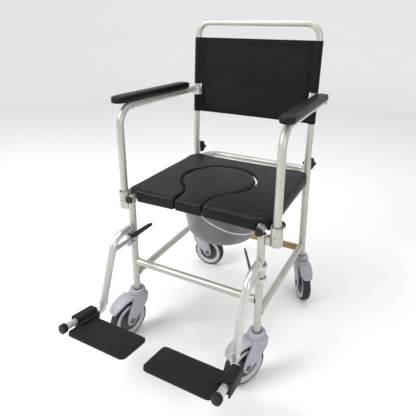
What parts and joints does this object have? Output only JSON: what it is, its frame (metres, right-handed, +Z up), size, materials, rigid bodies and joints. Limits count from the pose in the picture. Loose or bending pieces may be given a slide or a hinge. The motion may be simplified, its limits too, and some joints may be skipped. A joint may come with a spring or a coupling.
{
  "type": "commode chair",
  "caption": "Wheeled commode chair with a padded seat over a slide-out pan, a hoop back with a cloth sling, lift-up arms and swing-away footrests on braked castors.",
  "frame": {"origin": "middle of the overall footprint, on the floor", "axes": "+Z up; the sitter faces -Y; +X is the sitter's left"},
  "size_m": [0.5546, 0.8009, 0.9984],
  "materials": {
    "frame_paint": "warm silver grey powder coat, satin",
    "bright_paint": "bright silver powder coat, satin",
    "tan_paint": "tan, matt",
    "black_plastic": "black moulded plastic, fine texture",
    "pad_skin": "black moulded skin over foam, fine grain, satin",
    "sling_fabric": "black coated cloth, matt",
    "pan_plastic": "grey plastic, satin",
    "bail_wire": "white coated wire",
    "castor_plastic": "blue-grey moulded plastic",
    "tyre_rubber": "black solid tyre",
    "hub_plastic": "dark grey moulded plastic",
    "bolt_steel": "zinc plated"
  },
  "bodies": {
    "frame": {"front_leg_l": "frame_paint", "front_leg_r": "frame_paint", "rear_leg_l": "frame_paint", "rear_leg_r": "frame_paint", "seat_rail_l": "frame_paint", "seat_rail_r": "frame_paint", "lower_rail_l": "frame_paint", "lower_rail_r": "frame_paint", "rail_cap_l": "black_plastic", "rail_cap_r": "black_plastic", "rear_bow_tube": "frame_paint", "front_cross_tube": "frame_paint", "rear_cross_bar": "tan_paint", "arm_socket_l": "frame_paint", "arm_socket_r": "frame_paint", "back_hoop": "frame_paint", "back_sling": "sling_fabric", "arm_clamp_l": "bright_paint", "arm_clamp_r": "bright_paint", "seat_board": "pad_skin", "pan_runner_l": "pan_plastic", "pan_runner_r": "pan_plastic"},
    "arm_l": {"arm_tube_l": "frame_paint", "arm_pad_l": "pad_skin"},
    "lock_l": {"arm_lock_knob_l": "black_plastic"},
    "star_l": {"star_knob_l": "black_plastic"},
    "hanger_l": {"hanger_l": "bright_paint"},
    "lever_l": {"release_lever_l": "black_plastic"},
    "drop_l": {"drop_tube_l": "bright_paint"},
    "plate_l": {"footplate_l": "black_plastic"},
    "arm_r": {"arm_tube_r": "frame_paint", "arm_pad_r": "pad_skin"},
    "lock_r": {"arm_lock_knob_r": "black_plastic"},
    "star_r": {"star_knob_r": "black_plastic"},
    "hanger_r": {"hanger_r": "bright_paint"},
    "lever_r": {"release_lever_r": "black_plastic"},
    "drop_r": {"drop_tube_r": "bright_paint"},
    "plate_r": {"footplate_r": "black_plastic"},
    "infill": {"seat_infill": "pad_skin"},
    "pan": {"pan": "pan_plastic"},
    "bail": {"pan_bail": "bail_wire"},
    "swivel_front_l": {"castor_front_l_fork": "castor_plastic", "castor_front_l_axle": "bolt_steel"},
    "wheel_front_l": {"castor_front_l_tyre": "tyre_rubber", "castor_front_l_hub": "hub_plastic"},
    "pedal_front_l": {"castor_front_l_pedal": "castor_plastic"},
    "swivel_front_r": {"castor_front_r_fork": "castor_plastic", "castor_front_r_axle": "bolt_steel"},
    "wheel_front_r": {"castor_front_r_tyre": "tyre_rubber", "castor_front_r_hub": "hub_plastic"},
    "pedal_front_r": {"castor_front_r_pedal": "castor_plastic"},
    "swivel_rear_l": {"castor_rear_l_fork": "castor_plastic", "castor_rear_l_axle": "bolt_steel"},
    "wheel_rear_l": {"castor_rear_l_tyre": "tyre_rubber", "castor_rear_l_hub": "hub_plastic"},
    "pedal_rear_l": {"castor_rear_l_pedal": "castor_plastic"},
    "swivel_rear_r": {"castor_rear_r_fork": "castor_plastic", "castor_rear_r_axle": "bolt_steel"},
    "wheel_rear_r": {"castor_rear_r_tyre": "tyre_rubber", "castor_rear_r_hub": "hub_plastic"}
  },
  "joints": [
    {"name": "arm_lift_l", "type": "hinge", "parent": "frame", "child": "arm_l", "pos_m": [0.2419, 0.3115, 0.748], "axis": [-1, 0, 0], "range_deg": [0, 95]},
    {"name": "lock_pull_l", "type": "slide", "parent": "frame", "child": "lock_l", "axis": [0, 1, 0], "range_m": [0, 0.008], "stiffness_N_per_m": 400, "springref_m": -0.006},
    {"name": "star_turn_l", "type": "hinge", "parent": "frame", "child": "star_l", "pos_m": [0.2139, 0.30398, 0.525], "axis": [0, 1, 0], "continuous": true},
    {"name": "footrest_swing_l", "type": "hinge", "parent": "frame", "child": "hanger_l", "pos_m": [0.2059, -0.1085, 0.36], "axis": [0, 0, 1], "range_deg": [0, 90]},
    {"name": "lever_press_l", "type": "hinge", "parent": "hanger_l", "child": "lever_l", "pos_m": [0.1864, -0.1345, 0.367], "axis": [1, 0, 0], "range_deg": [0, 15], "stiffness_Nm_per_rad": 0.8, "springref_deg": -11.46},
    {"name": "footrest_height_l", "type": "slide", "parent": "hanger_l", "child": "drop_l", "axis": [0, -0.3459, -0.9383], "range_m": [0, 0.06]},
    {"name": "footplate_flip_l", "type": "hinge", "parent": "drop_l", "child": "plate_l", "pos_m": [0.2219, -0.33708, 0.20151], "axis": [0, 0.9781, -0.2079], "range_deg": [0, 90]},
    {"name": "arm_lift_r", "type": "hinge", "parent": "frame", "child": "arm_r", "pos_m": [-0.2501, 0.3115, 0.748], "axis": [-1, 0, 0], "range_deg": [0, 95]},
    {"name": "lock_pull_r", "type": "slide", "parent": "frame", "child": "lock_r", "axis": [0, 1, 0], "range_m": [0, 0.008], "stiffness_N_per_m": 400, "springref_m": -0.006},
    {"name": "star_turn_r", "type": "hinge", "parent": "frame", "child": "star_r", "pos_m": [-0.2221, 0.30398, 0.525], "axis": [0, 1, 0], "continuous": true},
    {"name": "footrest_swing_r", "type": "hinge", "parent": "frame", "child": "hanger_r", "pos_m": [-0.2141, -0.1085, 0.36], "axis": [0, 0, -1], "range_deg": [0, 90]},
    {"name": "lever_press_r", "type": "hinge", "parent": "hanger_r", "child": "lever_r", "pos_m": [-0.1946, -0.1345, 0.367], "axis": [1, 0, 0], "range_deg": [0, 15], "stiffness_Nm_per_rad": 0.8, "springref_deg": -11.46},
    {"name": "footrest_height_r", "type": "slide", "parent": "hanger_r", "child": "drop_r", "axis": [0, -0.3459, -0.9383], "range_m": [0, 0.06]},
    {"name": "footplate_flip_r", "type": "hinge", "parent": "drop_r", "child": "plate_r", "pos_m": [-0.2301, -0.33708, 0.20151], "axis": [0, -0.9781, 0.2079], "range_deg": [0, 90]},
    {"name": "infill_lift", "type": "slide", "parent": "frame", "child": "infill", "axis": [0, 0, 1], "range_m": [0, 0.04]},
    {"name": "pan_slide", "type": "slide", "parent": "frame", "child": "pan", "axis": [0, 1, 0], "range_m": [0, 0.35]},
    {"name": "bail_swing", "type": "hinge", "parent": "pan", "child": "bail", "pos_m": [-0.0041, 0.0965, 0.44], "axis": [0, -1, 0], "range_deg": [0, 20]},
    {"name": "castor_turn_front_l", "type": "hinge", "parent": "frame", "child": "swivel_front_l", "pos_m": [0.2059, -0.1085, 0.15], "axis": [0, 0, 1], "continuous": true},
    {"name": "wheel_roll_front_l", "type": "hinge", "parent": "swivel_front_l", "child": "wheel_front_l", "pos_m": [0.18478, -0.14364, 0.0625], "axis": [0.8572, -0.515, 0], "continuous": true},
    {"name": "brake_front_l", "type": "hinge", "parent": "swivel_front_l", "child": "pedal_front_l", "pos_m": [0.18736, -0.13936, 0.144], "axis": [0.8572, -0.515, 0], "range_deg": [0, 10]},
    {"name": "castor_turn_front_r", "type": "hinge", "parent": "frame", "child": "swivel_front_r", "pos_m": [-0.2141, -0.1085, 0.15], "axis": [0, 0, 1], "continuous": true},
    {"name": "wheel_roll_front_r", "type": "hinge", "parent": "swivel_front_r", "child": "wheel_front_r", "pos_m": [-0.22471, -0.1481, 0.0625], "axis": [0.9659, -0.2588, 0], "continuous": true},
    {"name": "brake_front_r", "type": "hinge", "parent": "swivel_front_r", "child": "pedal_front_r", "pos_m": [-0.22342, -0.14327, 0.144], "axis": [0.9659, -0.2588, 0], "range_deg": [0, 10]},
    {"name": "castor_turn_rear_l", "type": "hinge", "parent": "frame", "child": "swivel_rear_l", "pos_m": [0.2139, 0.3325, 0.15], "axis": [0, 0, 1], "continuous": true},
    {"name": "wheel_roll_rear_l", "type": "hinge", "parent": "swivel_rear_l", "child": "wheel_rear_l", "pos_m": [0.23502, 0.29736, 0.0625], "axis": [0.8572, 0.515, 0], "continuous": true},
    {"name": "brake_rear_l", "type": "hinge", "parent": "swivel_rear_l", "child": "pedal_rear_l", "pos_m": [0.23244, 0.30164, 0.144], "axis": [0.8572, 0.515, 0], "range_deg": [0, 10]},
    {"name": "castor_turn_rear_r", "type": "hinge", "parent": "frame", "child": "swivel_rear_r", "pos_m": [-0.2221, 0.3325, 0.15], "axis": [0, 0, 1], "continuous": true},
    {"name": "wheel_roll_rear_r", "type": "hinge", "parent": "swivel_rear_r", "child": "wheel_rear_r", "pos_m": [-0.18113, 0.33393, 0.0625], "axis": [-0.0349, 0.9994, 0], "continuous": true}
  ]
}
